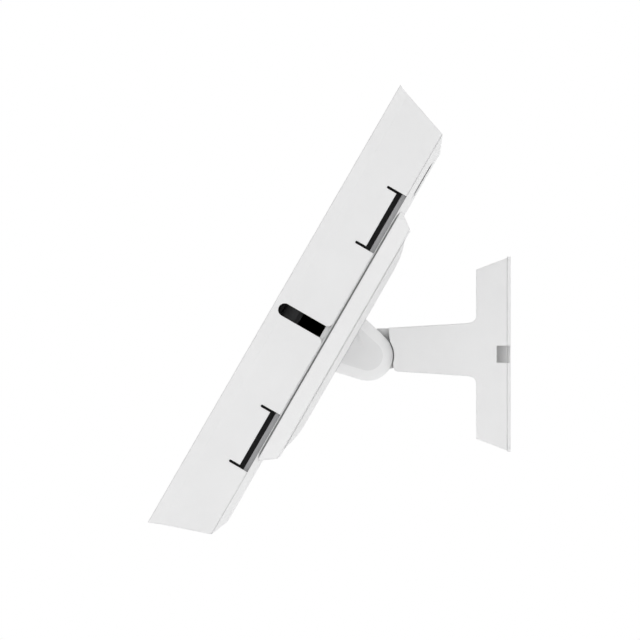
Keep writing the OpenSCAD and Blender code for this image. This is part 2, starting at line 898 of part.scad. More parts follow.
module bezel_foam() {
  color([0.12, 0.12, 0.13]) on_case() difference() {
    deep(inside_y, foam_back_y) cradle_plan(0);
    deep(inside_y - over, foam_back_y + over) rounded(window_w + 2 * foam_back,
      window_h + 2 * foam_back, window_corner + foam_back);
    at_case_bosses() bar_y(case_boss_r + 0.3, inside_y - over, foam_back_y + over);
  }
}

// Front shell

module shell_outside(inset, front) {
  skew_side = inset / cos(band_side_slope);
  skew_end = inset / cos(band_end_slope);
  skew = inset / cos(wall_slope);
  cut = front - front_y;
  back = inset > 0 ? over : 0;
  frustum(front, half_w - cut * tan(band_side_slope) - skew_side,
    half_h - cut * tan(band_end_slope) - skew_end,
    band_y, half_w_band - skew_side, half_h_band - skew_end);
  frustum(band_y - (inset > 0 ? 0.01 : 0), half_w_band - skew, half_h_band - skew,
    edge_y + back, half_w_edge - skew - back * tan(wall_slope),
    half_h_edge - skew - back * tan(wall_slope));
}

// Cable slot in the right wall: round front end, and a mouth that opens to the rear edge
module cable_slot() {
  tip = front_y + slot_tip + slot_w / 2;
  translate([half_w_edge - 3 * shell_wall, 0, 0]) across_from_zero(half_w) {
    translate([tip, 0]) circle(r = slot_w / 2);
    translate([tip, -slot_w / 2]) square([edge_y + over - tip, slot_w]);
    for (e = ears) difference() {
      translate([edge_y - slot_mouth_r, e > 0 ? 0 : -slot_w / 2 - slot_mouth_r])
        square([slot_mouth_r + over, slot_w / 2 + slot_mouth_r]);
      translate([edge_y - slot_mouth_r, e * (slot_w / 2 + slot_mouth_r)])
        circle(r = slot_mouth_r);
    }
  }
}

// Two slits and a set-back edge, which leave a spring tab in the wall
module tab_cut() {
  across_from_zero(half_w) {
    for (e = ears) translate([0, e * (tab_len - slit_w) / 2]) {
      translate([edge_y - slit_d + slit_w / 2, 0]) circle(r = slit_w / 2);
      translate([edge_y - slit_d + slit_w / 2, -slit_w / 2]) square([slit_d + over, slit_w]);
    }
    translate([edge_y - tab_set_back, -tab_len / 2]) square([tab_set_back + over, tab_len]);
  }
}

module front_shell() {
  color("white") on_case() difference() {
    union() {
      difference() {
        shell_outside(0, front_y);
        shell_outside(shell_wall, inside_y);
      }
      at_case_bosses() bar_y(case_boss_r, front_y + shell_wall / 2, panel_in_y);
    }
    deep(front_y - over, inside_y + over) rounded(window_w, window_h, window_corner);
    cable_slot();
    for (s = [0, 1]) mirror([s, 0, 0]) for (e = ears)
      translate([half_w_edge - 3 * shell_wall, 0, e * tab_pitch / 2]) tab_cut();
    at_case_bosses() bar_y(insert_r + fit, panel_in_y - insert_h - 0.5, panel_in_y + over);
  }
}

wall_plate();
plate_nuts();
arm_housing();
housing_screws();
swivel_head();
tilt_bolt();
tilt_nut();
spring_washer();
friction_washers();
right_ear_cover();
left_ear_cover();
swivel_retainer();
retainer_screws();
rear_bracket();
glide_ring();
bracket_screws();
bracket_nuts();
rear_panel();
case_screws();
case_inserts();
cradle();
cradle_screws();
cradle_inserts();
cradle_pads();
bezel_foam();
front_shell();
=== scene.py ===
# %% [markdown]
# # A tablet wall mount
# The object is a white sheet-metal case for a tablet. It leans back on a clevis head, which tilts and
# swivels on a T-shaped cast arm with a wall base. The hard parts arrive as a finished, fixed model, so
# this lesson dresses them: it sets up the view, mixes the finishes, and makes the soft and the rounded
# pieces that a plain solid can't show well.

import json
import math

import bpy
import numpy as np
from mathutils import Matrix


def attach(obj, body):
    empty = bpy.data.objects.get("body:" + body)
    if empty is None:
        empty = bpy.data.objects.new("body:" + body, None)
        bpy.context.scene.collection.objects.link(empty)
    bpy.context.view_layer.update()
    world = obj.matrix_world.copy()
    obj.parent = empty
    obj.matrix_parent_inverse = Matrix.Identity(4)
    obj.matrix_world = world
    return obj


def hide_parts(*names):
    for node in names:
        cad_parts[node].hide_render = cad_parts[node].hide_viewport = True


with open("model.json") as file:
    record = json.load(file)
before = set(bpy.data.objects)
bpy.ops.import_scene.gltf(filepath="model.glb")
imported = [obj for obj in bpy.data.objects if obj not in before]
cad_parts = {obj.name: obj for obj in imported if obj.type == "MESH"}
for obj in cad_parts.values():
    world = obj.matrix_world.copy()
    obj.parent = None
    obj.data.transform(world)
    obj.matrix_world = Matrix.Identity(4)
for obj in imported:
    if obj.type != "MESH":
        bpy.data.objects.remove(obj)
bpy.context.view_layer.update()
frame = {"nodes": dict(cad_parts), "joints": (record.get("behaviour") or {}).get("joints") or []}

# %% [markdown]
# ## The view
# The picture to match looks straight along the tilt axis, from the side where the cable slot is. Such a
# view could use an orthographic camera, but a very long lens from 13.5 metres away sees nearly the same
# and behaves like any other camera when the view is turned. From further away the turned views come out
# empty, because their camera sees no further than a hundred times the object's radius. It stands level
# with the arm, so that what lies deeper than the case's side shrinks towards the arm and hardly moves.

# %% Camera
PIXEL = 0.00045              # metres of the object in one pixel of the picture
PICTURE = 640                # pixels across the picture
VIEW_CENTRE = (-0.0860, 0.0154)   # y and z in the middle of the picture
CASE_SIDE = 0.14             # x of the case's side, where the scale was taken
FAR = 13.5                   # metres from the case's side to the camera
STAND = (-0.0365, 0.0041)    # y and z of the camera
SENSOR = 36.0                # millimetres across the sensor
CLIP = (1.0, 50.0)           # the nearest and the furthest that it sees, in metres

lens = bpy.data.cameras.new("side_lens")
lens.sensor_width = SENSOR
lens.lens = SENSOR * FAR / (PIXEL * PICTURE)   # sensor times distance over the width of the view
lens.clip_start, lens.clip_end = CLIP
camera = bpy.data.objects.new("side_camera", lens)
camera.location = (CASE_SIDE + FAR, *STAND)
turned = (STAND[0] - VIEW_CENTRE[0]) / FAR   # small angles, in radians, that aim it at VIEW_CENTRE
dipped = (STAND[1] - VIEW_CENTRE[1]) / FAR
camera.rotation_euler = (math.pi / 2 - dipped, 0.0, math.pi / 2 + turned)
bpy.context.scene.collection.objects.link(camera)
bpy.context.scene.camera = camera
print("lens:", round(lens.lens), "mm, picture", round(PIXEL * PICTURE * 1000), "mm wide")

# %% [markdown]
# ## Steps in a node tree
# Finishes and rooms are trees of nodes, and many of their steps take two values. Each could be added and
# linked by hand every time. Three small helpers do it, and take a socket or a plain number for a value.

# %% Node steps
def feed(tree, socket, value):
    """Links the value to an input if it is a socket, and writes it there if it is plain."""
    if hasattr(value, "links"):
        tree.links.new(value, socket)
    else:
        socket.default_value = value


def arithmetic(tree, operation, first, second=0.0):
    """One step of arithmetic on two values, each a socket or a number."""
    node = tree.nodes.new("ShaderNodeMath")
    node.operation = operation
    feed(tree, node.inputs[0], first)
    feed(tree, node.inputs[1], second)
    return node.outputs[0]


def dot_product(tree, first, second):
    """The products of two vectors' parts, summed: each vector is a socket or three numbers."""
    node = tree.nodes.new("ShaderNodeVectorMath")
    node.operation = "DOT_PRODUCT"
    feed(tree, node.inputs[0], first)
    feed(tree, node.inputs[1], second)
    return node.outputs["Value"]


print("node steps are ready")

# %% [markdown]
# ## The studio
# The picture is a catalogue photograph: a white sweep, broad soft light and hardly any shadow. Faces that
# look up or towards the wall are the brightest, and those that look at the camera are a shade darker. A
# ring of lamps could do that, but a room whose sides glow unequally does it with no shadow edges. For the
# camera, for mirrors and for glass the room is plain white, so a white background takes no extra light.

# %% World
ROOM_SIDES = {               # where a side of the room lies, and how strongly it glows
    "wall_side": ((0.0, 1.0, 0.0), 1.26),
    "tablet_side": ((0.0, -1.0, 0.0), 0.45),
    "ceiling": ((0.0, 0.0, 1.0), 1.18),
    "far_side": ((-1.0, 0.0, 0.0), 0.80),
}
world = bpy.data.worlds.new("white_room")
world.use_nodes = True
bpy.context.scene.world = world
bpy.context.scene.view_settings.view_transform = "Standard"
room = world.node_tree
room.nodes.clear()

# Each side adds its power times the squared cosine of the angle towards it, and nothing behind it.
direction = room.nodes.new("ShaderNodeTexCoord").outputs["Generated"]
glow = 0.0
for axis, power in ROOM_SIDES.values():
    facing = arithmetic(room, "MAXIMUM", dot_product(room, direction, axis), 0.0)
    lobe = arithmetic(room, "MULTIPLY", arithmetic(room, "POWER", facing, 2.0), power)
    glow = arithmetic(room, "ADD", glow, lobe)


def background(power):
    """A white background of that strength, a socket or a number."""
    node = room.nodes.new("ShaderNodeBackground")
    node.inputs["Color"].default_value = (1.0, 1.0, 1.0, 1.0)
    feed(room, node.inputs["Strength"], power)
    return node.outputs[0]


ray = room.nodes.new("ShaderNodeLightPath")
seen = arithmetic(room, "MAXIMUM", ray.outputs["Is Camera Ray"], ray.outputs["Is Glossy Ray"])
seen = arithmetic(room, "MAXIMUM", seen, ray.outputs["Is Transmission Ray"])
choose = room.nodes.new("ShaderNodeMixShader")
for socket, value in zip(choose.inputs, (seen, background(glow), background(1.0))):
    feed(room, socket, value)
feed(room, room.nodes.new("ShaderNodeOutputWorld").inputs["Surface"], choose.outputs[0])
print("room sides:", {side: power for side, (axis, power) in ROOM_SIDES.items()})

# %% [markdown]
# A softbox is a wide soft lamp, here 1.6 metres across and some 2.4 metres away. Many small lamps would
# draw many shadows, and one area lamp has soft edges by itself. One stands on the camera's side, and one
# lights the window side, which faces away from the bright end of the room.

# %% Softboxes
BOX_SIDE = 1.6               # metres
SOFTBOXES = {                # where a softbox stands, the point that it faces, and its watts
    "by_camera": ((2.4, -0.4, 0.6), (0.0, -0.07, 0.0), 14.0),
    "window_side": ((0.4, -2.2, 0.9), (0.0, -0.1, 0.0), 11.0),
}
for name, (place, aim, watts) in SOFTBOXES.items():
    lamp = bpy.data.lights.new(name, "AREA")
    lamp.shape = "SQUARE"
    lamp.size = BOX_SIDE
    lamp.energy = watts
    box = bpy.data.objects.new(name, lamp)
    box.location = place
    towards = np.array(aim) - np.array(place)
    yaw = math.atan2(towards[1], towards[0])
    rise = math.atan2(towards[2], math.hypot(towards[0], towards[1]))
    box.rotation_euler = (math.pi / 2 + rise, 0.0, yaw - math.pi / 2)   # a lamp shines along its own -Z
    bpy.context.scene.collection.objects.link(box)
print("softboxes:", ", ".join(SOFTBOXES))

# %% [markdown]
# The floor is a pale sheet well below the mount. It takes the object's soft shadow and sends light back
# up under the case. It could bend up into a backdrop, but the white room is there already.

# %% Floor
FLOOR_Z = -0.42
FLOOR_REACH = 3.0            # metres from the middle to each side
FLOOR_TONE = (0.9, 0.9, 0.9, 1.0)
floor_mesh = bpy.data.meshes.new("floor")
floor_mesh.from_pydata([(x * FLOOR_REACH, y * FLOOR_REACH, FLOOR_Z)
                        for x, y in ((-1, -1), (1, -1), (1, 1), (-1, 1))], [], [(0, 1, 2, 3)])
floor = bpy.data.objects.new("floor", floor_mesh)
bpy.context.scene.collection.objects.link(floor)
floor_paint = bpy.data.materials.new("pale_floor")
floor_paint.use_nodes = True
floor_shader = floor_paint.node_tree.nodes["Principled BSDF"]
floor_shader.inputs["Base Color"].default_value = FLOOR_TONE
floor_shader.inputs["Roughness"].default_value = 0.8
floor_mesh.materials.append(floor_paint)
print("floor at", FLOOR_Z)

# %% [markdown]
# ## How a finish is mixed
# Each finish is a Principled shader with three kinds of detail: a tone that wanders a little, a
# roughness that wanders too, and bumps at the real size of the grain. All of it reads Object
# coordinates, which are metres here, so a Noise scale of 1000 is a grain of one millimetre.

# %% Helpers for finishes
EDGE_SAMPLES = 6
TURNED, FLAT = 0.72, 0.995   # cosine between rounded and true normal, at an edge and on a flat face


def new_finish(name):
    """A material with its shader, and the Object coordinates that its patterns read."""
    paint = bpy.data.materials.new(name)
    paint.use_nodes = True
    tree = paint.node_tree
    coords = tree.nodes.new("ShaderNodeTexCoord")
    return paint, tree, tree.nodes["Principled BSDF"], coords.outputs["Object"]


def noise(tree, where, scale, detail=2.0, roughness=0.5):
    """Soft noise, 0 to 1, with lumps of 1 / scale metres."""
    node = tree.nodes.new("ShaderNodeTexNoise")
    node.inputs["Scale"].default_value = scale
    node.inputs["Detail"].default_value = detail
    node.inputs["Roughness"].default_value = roughness
    tree.links.new(where, node.inputs["Vector"])
    return node.outputs["Fac"]


def spread(tree, value, low, high, start=0.3, stop=0.7):
    """Stretches a value between start and stop over low to high, and holds it there outside them."""
    node = tree.nodes.new("ShaderNodeMapRange")
    for socket, number in zip(("From Min", "From Max", "To Min", "To Max"), (start, stop, low, high)):
        node.inputs[socket].default_value = number
    tree.links.new(value, node.inputs["Value"])
    return node.outputs["Result"]


def blend_tones(tree, share, first, second):
    """1 - share of the first tone and share of the second, each a colour or a socket."""
    node = tree.nodes.new("ShaderNodeMix")
    node.data_type = "RGBA"
    tree.links.new(share, node.inputs["Factor"])
    for socket, tone in ((node.inputs[6], first), (node.inputs[7], second)):
        feed(tree, socket, tone if hasattr(tone, "links") else (*tone, 1.0))
    return node.outputs[2]


def bumps(tree, height, depth, under=None):
    """Bumps of the given depth in metres, laid over the normal under."""
    node = tree.nodes.new("ShaderNodeBump")
    node.inputs["Distance"].default_value = depth
    node.inputs["Strength"].default_value = 1.0
    tree.links.new(height, node.inputs["Height"])
    if under is not None:
        tree.links.new(under, node.inputs["Normal"])
    return node.outputs["Normal"]


def soft_edge(tree, radius):
    """The normal as if every sharp edge were rounded to that radius."""
    node = tree.nodes.new("ShaderNodeBevel")
    node.samples = EDGE_SAMPLES
    node.inputs["Radius"].default_value = radius
    return node.outputs["Normal"]


def edge_share(tree, rounded_normal, gain):
    """0 on flat faces and up to gain at edges: how far the rounded normal leaves the true one.

    The cosine between the two, from FLAT down to TURNED, is spread over 0 to gain.
    """
    true_normal = tree.nodes.new("ShaderNodeNewGeometry").outputs["Normal"]
    return spread(tree, dot_product(tree, rounded_normal, true_normal), gain, 0.0, TURNED, FLAT)


print("finish helpers are ready")

# %% [markdown]
# ## Powder coat
# The case is steel sheet under white powder coat: paint that was sprayed dry and baked, which leaves a
# fine orange peel. Two noises make it, one for the peel and one for the grain of the powder. Bends and
# edges are painted a little lighter as a highlight, and tight gaps are painted darker as shade.

# %% White coats
POWDER_SCALE = 3200.0        # grains of powder, a third of a millimetre apart
HANDLING_SCALE = 28.0        # patches of a few centimetres, as hands leave them
SHADED, EDGE_LIGHTENING = 0.965, 1.09     # a handled patch, and an edge's painted highlight, as shares of the coat's tone
BRIGHTEST = 0.95             # no painted edge highlight is brighter
GAP_TIGHT, GAP_OPEN = 0.12, 0.45     # share of open view where a gap's painted shade is full, and where it ends
# grey painted on the lip where it lies in shade beside the tabs
LIP_SHADE_GREY = (0.42, 0.42, 0.43)


def powder_coat(name, tone, peel_scale, peel_depth, grain_depth, edge_radius, gap, crevice_shade,
                rough=0.42, painted_lip_shade=None):
    """Baked white paint: orange peel, grain, painted edge highlights, painted shade in gaps up to gap wide.

    Lengths are in metres, and the argument after gap is the painted shade's tone as a share of the coat's.
    The last argument, if given, makes the share of the lip painted grey as shade, from the tree and the
    coordinates.
    """
    paint, tree, shader, where = new_finish(name)
    peel = noise(tree, where, peel_scale, 3.0, 0.55)
    grain = noise(tree, where, POWDER_SCALE, 1.0)
    handling = noise(tree, where, HANDLING_SCALE, 4.0, 0.6)
    edge = soft_edge(tree, edge_radius)
    shade = tuple(c * SHADED for c in tone)
    colour = blend_tones(tree, spread(tree, handling, 0.0, 1.0), shade, tone)
    # painted highlight: bends and edges are mixed lighter than the coat's tone
    edge_highlight = edge_share(tree, edge, 0.8)
    colour = blend_tones(tree, edge_highlight, colour, tuple(min(BRIGHTEST, c * EDGE_LIGHTENING) for c in tone))
    # painted shade: where ambient occlusion finds a tight gap, the coat is mixed darker
    hollow = tree.nodes.new("ShaderNodeAmbientOcclusion")
    hollow.samples = 8
    hollow.inputs["Distance"].default_value = gap
    gap_shade = spread(tree, hollow.outputs["AO"], 1.0, 0.0, GAP_TIGHT, GAP_OPEN)
    colour = blend_tones(tree, gap_shade, colour, tuple(c * crevice_shade for c in tone))
    # painted shade: the lip beside the tabs is mixed towards grey
    if painted_lip_shade is not None:
        colour = blend_tones(tree, painted_lip_shade(tree, where), colour, LIP_SHADE_GREY)
    tree.links.new(colour, shader.inputs["Base Color"])
    tree.links.new(spread(tree, handling, rough - 0.05, rough + 0.08), shader.inputs["Roughness"])
    normal = bumps(tree, peel, peel_depth, edge)
    tree.links.new(bumps(tree, grain, grain_depth, normal), shader.inputs["Normal"])
    shader.inputs["Specular IOR Level"].default_value = 0.42
    return paint


WHITE = (0.86, 0.86, 0.862)
CAST_WHITE = (0.885, 0.885, 0.886)
# in each coat, the tone of the painted shade in tight gaps is given as a share of its own tone
SHEET_COAT = {"tone": WHITE, "peel_scale": 520.0, "peel_depth": 0.00005, "grain_depth": 0.000012,
              "edge_radius": 0.0009, "gap": 0.003, "crevice_shade": 0.80}
CAST_COAT = {"tone": CAST_WHITE, "peel_scale": 380.0, "peel_depth": 0.00009, "grain_depth": 0.00002,
             "edge_radius": 0.0011, "gap": 0.0045, "crevice_shade": 0.50, "rough": 0.46}
sheet_coat = powder_coat("sheet_powder_coat", **SHEET_COAT)
cast_coat = powder_coat("casting_powder_coat", **CAST_COAT)
print("white coats:", sheet_coat.name, cast_coat.name)

# %% [markdown]
# ## Axes of the leaned case
# The case leans back, so its own axes don't run along the frame's, and the swivel axis points straight
# back through it. What belongs to the case or the head is worked out along these leaned axes, where it is
# plain and upright. The tilt and the swivel joint say where the axes start and how far they lean, so
# nothing is measured twice.

# %% Leaned axes
JOINTS = {joint["name"]: joint for joint in frame["joints"]}
HEAD_AT = np.array(JOINTS["tilt"]["pos_m"])      # on the tilt axis
CASE_AT = np.array(JOINTS["swivel"]["pos_m"])    # on the swivel axis
ACROSS = np.array([1.0, 0.0, 0.0])
BACK = np.array(JOINTS["swivel"]["axis"])
LEANED = np.array([ACROSS, BACK, np.cross(ACROSS, BACK)])
print("lean:", round(math.degrees(math.atan2(-BACK[2], BACK[1])), 2), "degrees, head at", HEAD_AT,
      "case at", CASE_AT.round(4))

# %% [markdown]
# The shell's four spring tabs press on the lip of the rear panel. Through the windows beside the tabs the
# lip lies deep in shade, and there its white is painted grey as shade. A painted mask would need
# a texture; the place is known in the case's own axes, so two distances make it.

# %% Panel coat
LIP_FROM = -0.0205           # how far along the swivel axis the lip begins
TAB_AT = 0.0568              # middle of a tab, up or down from the case's middle
TAB_HALF = 0.0155
SHADE_FADE = (0.0002, 0.0008)  # how softly the painted shade ends, along the swivel axis and up or down


def along(tree, where, axis):
    """How far a point lies from CASE_AT along an axis: the dot product, less that of CASE_AT."""
    return arithmetic(tree, "SUBTRACT", dot_product(tree, where, axis), float(CASE_AT @ axis))


def shade_beside_tabs(tree, where):
    """1 where the lip is painted grey as shade, beside a tab: deep enough along the swivel axis, and level
    with the tab.
    """
    deep = spread(tree, along(tree, where, LEANED[1]), 1.0, 0.0, LIP_FROM - SHADE_FADE[0], LIP_FROM)
    height = arithmetic(tree, "ABSOLUTE", along(tree, where, LEANED[2]))
    from_tab = arithmetic(tree, "ABSOLUTE", arithmetic(tree, "SUBTRACT", height, TAB_AT))
    beside = spread(tree, from_tab, 1.0, 0.0, TAB_HALF - SHADE_FADE[1], TAB_HALF)
    return arithmetic(tree, "MULTIPLY", deep, beside)


# the sheet coat, with painted shade on the lip beside the tabs
panel_coat = powder_coat("panel_powder_coat", **SHEET_COAT, painted_lip_shade=shade_beside_tabs)
print("panel coat:", panel_coat.name, "darkened beside the tabs at", TAB_AT)

# %% [markdown]
# The ear covers are moulded plastic, painted by nobody: their white goes all the way through, and their
# surface is the mould's own fine spark-eroded grain. A plain white shader would look like the painted
# parts beside it, so the grain gets its own size, and the edges are painted a little brighter as a
# highlight.

# %% Moulded white plastic
FLOW_SCALE = 45.0            # flow marks some two centimetres apart


def moulded(name, tone, grain_scale, grain_depth, rough, edge_radius=0.0004):
    """Moulded plastic: grain of the mould, faint flow marks, and edges painted a little brighter as a
    highlight.
    """
    paint, tree, shader, where = new_finish(name)
    grain = noise(tree, where, grain_scale, 2.0, 0.6)
    flow = noise(tree, where, FLOW_SCALE, 3.0)
    edge = soft_edge(tree, edge_radius)
    colour = blend_tones(tree, spread(tree, flow, 0.0, 1.0), tuple(c * 0.95 for c in tone), tone)
    # painted highlight: edges are mixed brighter than the plastic's tone
    edge_highlight = edge_share(tree, edge, 0.6)
    colour = blend_tones(tree, edge_highlight, colour, tuple(min(1.0, c * 1.06 + 0.004) for c in tone))
    tree.links.new(colour, shader.inputs["Base Color"])
    tree.links.new(spread(tree, grain, rough - 0.06, rough + 0.08), shader.inputs["Roughness"])
    tree.links.new(bumps(tree, grain, grain_depth, edge), shader.inputs["Normal"])
    return paint


white_plastic = moulded("white_plastic", WHITE, grain_scale=2400.0, grain_depth=0.00002, rough=0.5)
# the bevel's finish: finer grain, less roughness, and a lighter white that is a painted highlight
bevel_highlight_plastic = moulded("bevel_highlight_white_plastic", (0.95, 0.95, 0.951), grain_scale=2400.0,
                           grain_depth=0.000004, rough=0.32)
black_plastic = moulded("black_tray_plastic", (0.022, 0.022, 0.024), grain_scale=1500.0,
                        grain_depth=0.00004, rough=0.55)
slip_plastic = moulded("slippery_plastic", (0.05, 0.05, 0.055), grain_scale=2600.0,
                       grain_depth=0.00001, rough=0.35)
print("plastics:", white_plastic.name, black_plastic.name, slip_plastic.name)

# %% [markdown]
# ## Bare metal
# Screws and nuts are zinc plated, the tilt bolt and the retainer's screws are blackened, and the inserts
# are turned brass. Plating would look like plastic with one even roughness, and turning and rolling leave
# fine lines. They are made here from noise that is stretched along one axis.

# %% Metals
LINE_SCALE = 1800.0
CLOUD_SCALE = 160.0
METAL_EDGE = 0.00025         # radius of a screw's edges


def metal(name, tone, rough, stretch=(1.0, 1.0, 1.0), depth=0.00001, spots=(1.0, 1.0, 1.0)):
    """Metal with cloudy plating, and fine lines drawn out along an axis where stretch is under 1."""
    paint, tree, shader, where = new_finish(name)
    shader.inputs["Metallic"].default_value = 1.0
    pull = tree.nodes.new("ShaderNodeMapping")
    pull.inputs["Scale"].default_value = stretch
    tree.links.new(where, pull.inputs["Vector"])
    lines = noise(tree, pull.outputs["Vector"], LINE_SCALE, 2.0, 0.6)
    cloud = noise(tree, where, CLOUD_SCALE, 4.0, 0.6)
    edge = soft_edge(tree, METAL_EDGE)
    colour = blend_tones(tree, spread(tree, cloud, 0.0, 1.0),
                         tuple(t * s for t, s in zip(tone, spots)), tone)
    worn = edge_share(tree, edge, 0.5)
    colour = blend_tones(tree, worn, colour, tuple(min(1.0, t * 1.25 + 0.03) for t in tone))
    tree.links.new(colour, shader.inputs["Base Color"])
    tree.links.new(spread(tree, lines, rough - 0.07, rough + 0.1), shader.inputs["Roughness"])
    tree.links.new(bumps(tree, lines, depth, edge), shader.inputs["Normal"])
    return paint


zinc = metal("zinc_plating", (0.66, 0.68, 0.70), rough=0.3, stretch=(1.0, 0.12, 1.0),
             spots=(0.9, 0.88, 0.84))
black_oxide = metal("black_oxide", (0.035, 0.034, 0.036), rough=0.42, spots=(1.5, 1.35, 1.2))
brass = metal("turned_brass", (0.78, 0.58, 0.28), rough=0.25, stretch=(1.0, 0.1, 1.0),
              spots=(0.8, 0.74, 0.7))
print("metals:", zinc.name, black_oxide.name, brass.name)

# %% [markdown]
# ## Foam
# The frame behind the window and the pads behind the tablet are closed-cell foam. Its skin is dull
# black with small dimples, which a Voronoi pattern gives at the cells' own size.

# %% Foam finish
CELL_SCALE = 1900.0
LINT_SCALE = 240.0
DIMPLE_DEPTH = 0.00012


def foam(name, tone):
    """Closed-cell foam: dimples of half a millimetre, and lint in patches."""
    paint, tree, shader, where = new_finish(name)
    cells = tree.nodes.new("ShaderNodeTexVoronoi")
    cells.inputs["Scale"].default_value = CELL_SCALE
    tree.links.new(where, cells.inputs["Vector"])
    lint = noise(tree, where, LINT_SCALE, 5.0, 0.7)
    colour = blend_tones(tree, spread(tree, lint, 0.0, 1.0, 0.35, 0.75), tone,
                         tuple(c * 1.7 for c in tone))
    tree.links.new(colour, shader.inputs["Base Color"])
    tree.links.new(spread(tree, lint, 0.82, 0.98), shader.inputs["Roughness"])
    tree.links.new(bumps(tree, cells.outputs["Distance"], DIMPLE_DEPTH), shader.inputs["Normal"])
    shader.inputs["Specular IOR Level"].default_value = 0.25
    return paint


black_foam = foam("closed_cell_foam", (0.012, 0.012, 0.0125))
print("foam:", black_foam.name)

# %% [markdown]
# ## Finishes on the fixed parts
# A fixed part has the right shape already, so it keeps its mesh and only gets a better finish in its
# material slot. One table says what each part wears, and a loop dresses them all.

# %% Dress the fixed parts
FINISHES = {
    "wall_plate": sheet_coat, "plate_nuts": zinc, "arm_housing": cast_coat,
    "housing_screws": zinc, "swivel_head": cast_coat, "tilt_bolt": black_oxide,
    "tilt_nut": zinc, "spring_washer": zinc, "friction_washers": slip_plastic,
    "right_ear_cover": white_plastic, "left_ear_cover": white_plastic,
    "swivel_retainer": zinc, "retainer_screws": black_oxide, "rear_bracket": cast_coat,
    "glide_ring": slip_plastic, "bracket_screws": zinc, "bracket_nuts": zinc,
    "rear_panel": panel_coat, "case_screws": zinc, "case_inserts": brass,
    "cradle": black_plastic, "cradle_screws": zinc, "cradle_inserts": brass,
    "cradle_pads": black_foam, "bezel_foam": black_foam, "front_shell": sheet_coat,
}
for name, finish in FINISHES.items():
    part = frame["nodes"][name].data
    part.materials.clear()
    part.materials.append(finish)
print("dressed:", len(FINISHES), "of", len(frame["nodes"]))

# %% [markdown]
# ## Points of a fixed part
# A new piece has to sit just where the part that it replaces sits. Its size could be written down again
# here, but the fixed part's own points say it too, and stay right when that part changes.

# %% Points along the leaned axes
def leaned_points(node, origin):
    """A fixed part's points, measured from origin along the leaned axes: across, back and up."""
    mesh = frame["nodes"][node].data
    points = np.empty(len(mesh.vertices) * 3, np.float32)
    mesh.vertices.foreach_get("co", points)
    return (points.reshape(-1, 3) - origin) @ LEANED.T


print("ear cover, in points:", len(leaned_points("right_ear_cover", HEAD_AT)))

# %% [markdown]
# ## Skins from rings of points
# Every new piece here is a row of closed rings, like the hoops of a barrel. The rings are one array, so
# the faces between them are index arithmetic on whole arrays. A skin can come out inside out, for example
# after it is mirrored, so its volume is summed and its faces are turned round if that is negative.

# %% Skins
def skin(rings, endless=False):
    """Points, quads and triangles of a closed skin over rings, an array of row, around and 3.

    Neighbouring rows are joined by quads, and each ring closes on itself. An endless skin joins its last
    row to its first, as a frame does. Otherwise the first and the last ring each close in a fan of
    triangles round their mean point.
    """
    rows, around = rings.shape[:2]
    index = np.arange(rows * around).reshape(rows, around)
    here = index if endless else index[:-1]
    there = np.roll(index, -1, 0) if endless else index[1:]
    quads = np.stack([here, np.roll(here, -1, 1), np.roll(there, -1, 1), there], -1).reshape(-1, 4)
    points = rings.reshape(-1, 3)
    if endless:
        return points, quads, np.empty((0, 3), int)
    first, last = index[0], index[-1]
    pole = np.full(around, len(points))
    fans = np.vstack([np.stack([np.roll(first, -1), first, pole], -1),
                      np.stack([last, np.roll(last, -1), pole + 1], -1)])
    return np.vstack([points, rings[0].mean(0), rings[-1].mean(0)]), quads, fans


def leaned_piece(name, skins, origin, finish, body):
    """One object from closed skins: each is turned outside out and carried into the frame.

    A skin's volume is a sixth of the sum, over its triangles, of a . (b x c). Its sign says which way the
    faces point.
    """
    corners, faces, used = [], [], 0
    for points, quads, fans in skins:
        thirds = np.vstack([quads[:, [0, 1, 2]], quads[:, [0, 2, 3]], fans])
        a, b, c = (points[thirds[:, k]] for k in range(3))
        step = 1 if np.sum(a * np.cross(b, c)) > 0 else -1
        faces += (quads[:, ::step] + used).tolist() + (fans[:, ::step] + used).tolist()
        corners.append(points)
        used += len(points)
    mesh = bpy.data.meshes.new(name)
    mesh.from_pydata((np.vstack(corners) @ LEANED + origin).tolist(), [], faces)
    mesh.polygons.foreach_set("use_smooth", np.ones(len(mesh.polygons), bool))
    mesh.set_sharp_from_angle(angle=math.radians(35))
    mesh.materials.append(finish)
    piece = bpy.data.objects.new(name, mesh)
    bpy.context.scene.collection.objects.link(piece)
    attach(piece, body)
    print(name, len(mesh.vertices), "points,", len(mesh.polygons), "faces")
    return piece


def soft_corner(before, corner, after, set_back, steps=6):
    """A parabola that rounds a corner between two points set back along its sides.

    At t from 0 to 1 it is (1 - t) squared times the first point, plus 2 t (1 - t) times the corner, plus
    t squared times the second.
    """
    before, corner, after = (np.array(p, float) for p in (before, corner, after))
    start = corner + set_back * (before - corner) / np.linalg.norm(before - corner)
    stop = corner + set_back * (after - corner) / np.linalg.norm(after - corner)
    t = np.linspace(0.0, 1.0, steps)[:, None]
    return (1 - t) ** 2 * start + 2 * t * (1 - t) * corner + t ** 2 * stop


print("skin helpers are ready")

# %% [markdown]
# ## Ear covers
# A moulded cap hides each end of the tilt bolt. Its face is a D: a round end about the bolt, and two
# straights that flare to a foot on the disc. A Bevel modifier would round every edge alike, but the mould
# gives the brow of the bevel a wide soft turn and its outer edge a tight one. So the cap is a profile that
# runs from the face over the bevel to the back and into the hollow, drawn once for each inset of the D.
# The bevel gets its own finish with a finer grain and less roughness, and its lighter white is a painted
# highlight.

# %% The D outline
COVER_DEPTH = 0.0055
FLARE = math.radians(13.0)
END_POINTS, SIDE_POINTS, FOOT_POINTS = 49, 9, 16
cover_points = leaned_points("right_ear_cover", HEAD_AT)
COVER_TOP = cover_points[:, 0].max()
COVER_FOOT = cover_points[:, 1].min()
COVER_R = cover_points[:, 1].max()
COVER_BACK = COVER_TOP - COVER_DEPTH


